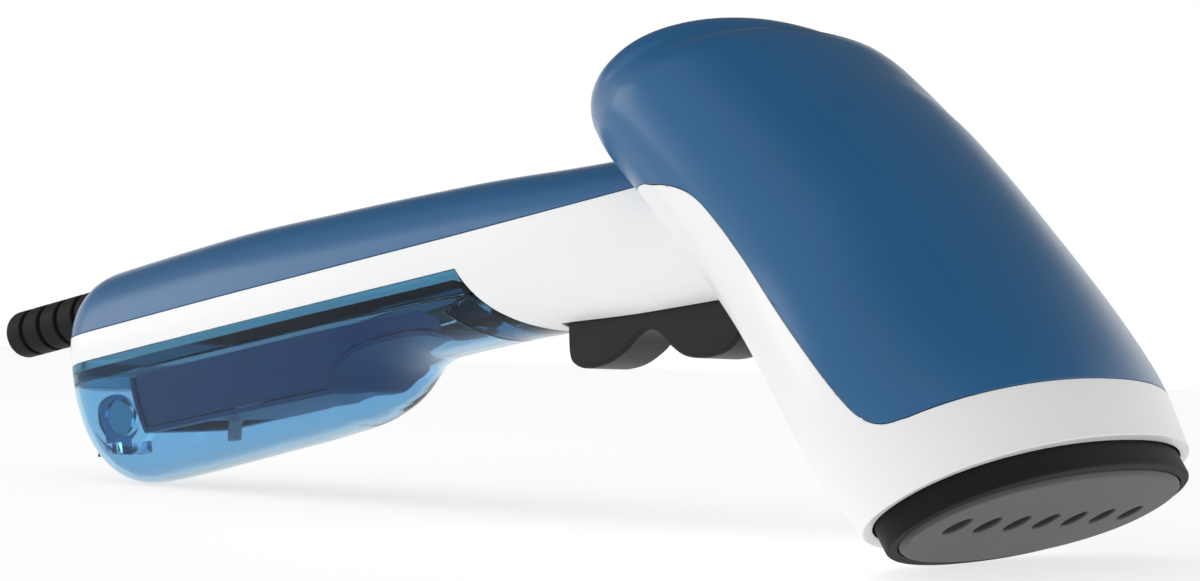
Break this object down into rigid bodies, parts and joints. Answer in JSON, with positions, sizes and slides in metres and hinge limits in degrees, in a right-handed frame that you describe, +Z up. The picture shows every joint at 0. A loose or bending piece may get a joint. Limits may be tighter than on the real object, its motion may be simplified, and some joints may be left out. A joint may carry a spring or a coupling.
{
  "type": "garment steamer",
  "caption": "Handheld corded garment steamer: round-ended grip with a lift-off water tank under it, rocker trigger and a flared head with an oval steam plate.",
  "frame": {"origin": "centre of the bounding box's base, on the surface it lies on", "axes": "+X along the grip from the cord entry to the head, +Y across to the user's left, +Z up, with the object lying on its tank and the lower edge of its head"},
  "size_m": [0.3312, 0.112, 0.1083],
  "materials": {
    "blue_shell": "satin-gloss moulded blue",
    "white_shell": "satin moulded white",
    "tank_clear": "clear blue-tinted",
    "tank_dark": "clear dark blue tint",
    "tank_navy": "dark navy moulding",
    "black_plastic": "fine texture",
    "black_rubber": "moulded",
    "clear_silicone": "translucent silicone",
    "sole_coating": "grey non-stick coating",
    "cast_aluminium": "die cast",
    "steel": "zinc plated",
    "brass": "turned",
    "copper": "enamelled copper winding",
    "grey_plastic": "moulded",
    "mica": "mica sheet",
    "red_wire": "silicone insulation",
    "blue_wire": "silicone insulation"
  },
  "bodies": {
    "grip": {"chamber_inlet": "brass", "chamber_screw_left": "steel", "chamber_screw_right": "steel", "clamp_screw_left": "steel", "clamp_screw_right": "steel", "cord_clamp": "grey_plastic", "handle_body": "white_shell", "handle_screw_front": "steel", "handle_screw_rear": "steel", "handle_top": "blue_shell", "head_body": "white_shell", "head_cover": "blue_shell", "head_screw_left": "steel", "head_screw_right": "steel", "heat_shield": "mica", "heating_element": "steel", "inlet_hose": "clear_silicone", "inlet_seal": "black_rubber", "micro_switch": "black_plastic", "neck_sleeve": "grey_plastic", "plate_gasket": "black_rubber", "pump_body": "grey_plastic", "pump_bracket": "steel", "pump_coil": "copper", "pump_spring": "steel", "shield_pillar_left": "brass", "shield_pillar_right": "brass", "steam_chamber": "cast_aluminium", "steam_feed_hose": "clear_silicone", "steam_plate": "sole_coating", "strain_relief": "black_rubber", "switch_carrier": "grey_plastic", "terminal_block": "white_shell", "thermal_fuse": "steel", "thermostat": "steel", "trigger_pin": "steel", "trigger_spring": "steel", "wire_live": "red_wire", "wire_neutral": "blue_wire"},
    "tank": {"tank_roof": "tank_dark", "tank_tub": "tank_clear", "tank_baffle": "tank_navy", "tank_outlet": "grey_plastic", "suction_tube": "clear_silicone", "filler_pin": "steel"},
    "filler_cap": {"filler_cap": "tank_dark"},
    "trigger": {"trigger": "black_plastic"},
    "button": {"switch_button": "white_shell"},
    "plunger": {"pump_plunger": "steel"}
  },
  "joints": [
    {"name": "tank_release", "type": "slide", "parent": "grip", "child": "tank", "axis": [-0.9812, 0, -0.1928], "range_m": [0, 0.17]},
    {"name": "cap_hinge", "type": "hinge", "parent": "tank", "child": "filler_cap", "pos_m": [-0.12166, 0, 0.00766], "axis": [0, -1, 0], "range_deg": [0, 100]},
    {"name": "trigger_pivot", "type": "hinge", "parent": "grip", "child": "trigger", "pos_m": [0.07197, 0, 0.05489], "axis": [0, 1, 0], "range_deg": [0, 3.5], "stiffness_Nm_per_rad": 0.4, "springref_deg": -5.73, "deforming": ["trigger_spring"]},
    {"name": "button_press", "type": "slide", "parent": "grip", "child": "button", "axis": [-0.1928, 0, 0.9812], "range_m": [0, 0.0019]},
    {"name": "plunger_stroke", "type": "slide", "parent": "grip", "child": "plunger", "axis": [0.9812, 0, 0.1928], "range_m": [0, 0.002], "stiffness_N_per_m": 300, "springref_m": -0.0005, "deforming": ["pump_spring"]}
  ],
  "couplings": [
    {"joint": "button_press", "follows": "trigger_pivot", "m_per_rad": 0.0293}
  ]
}
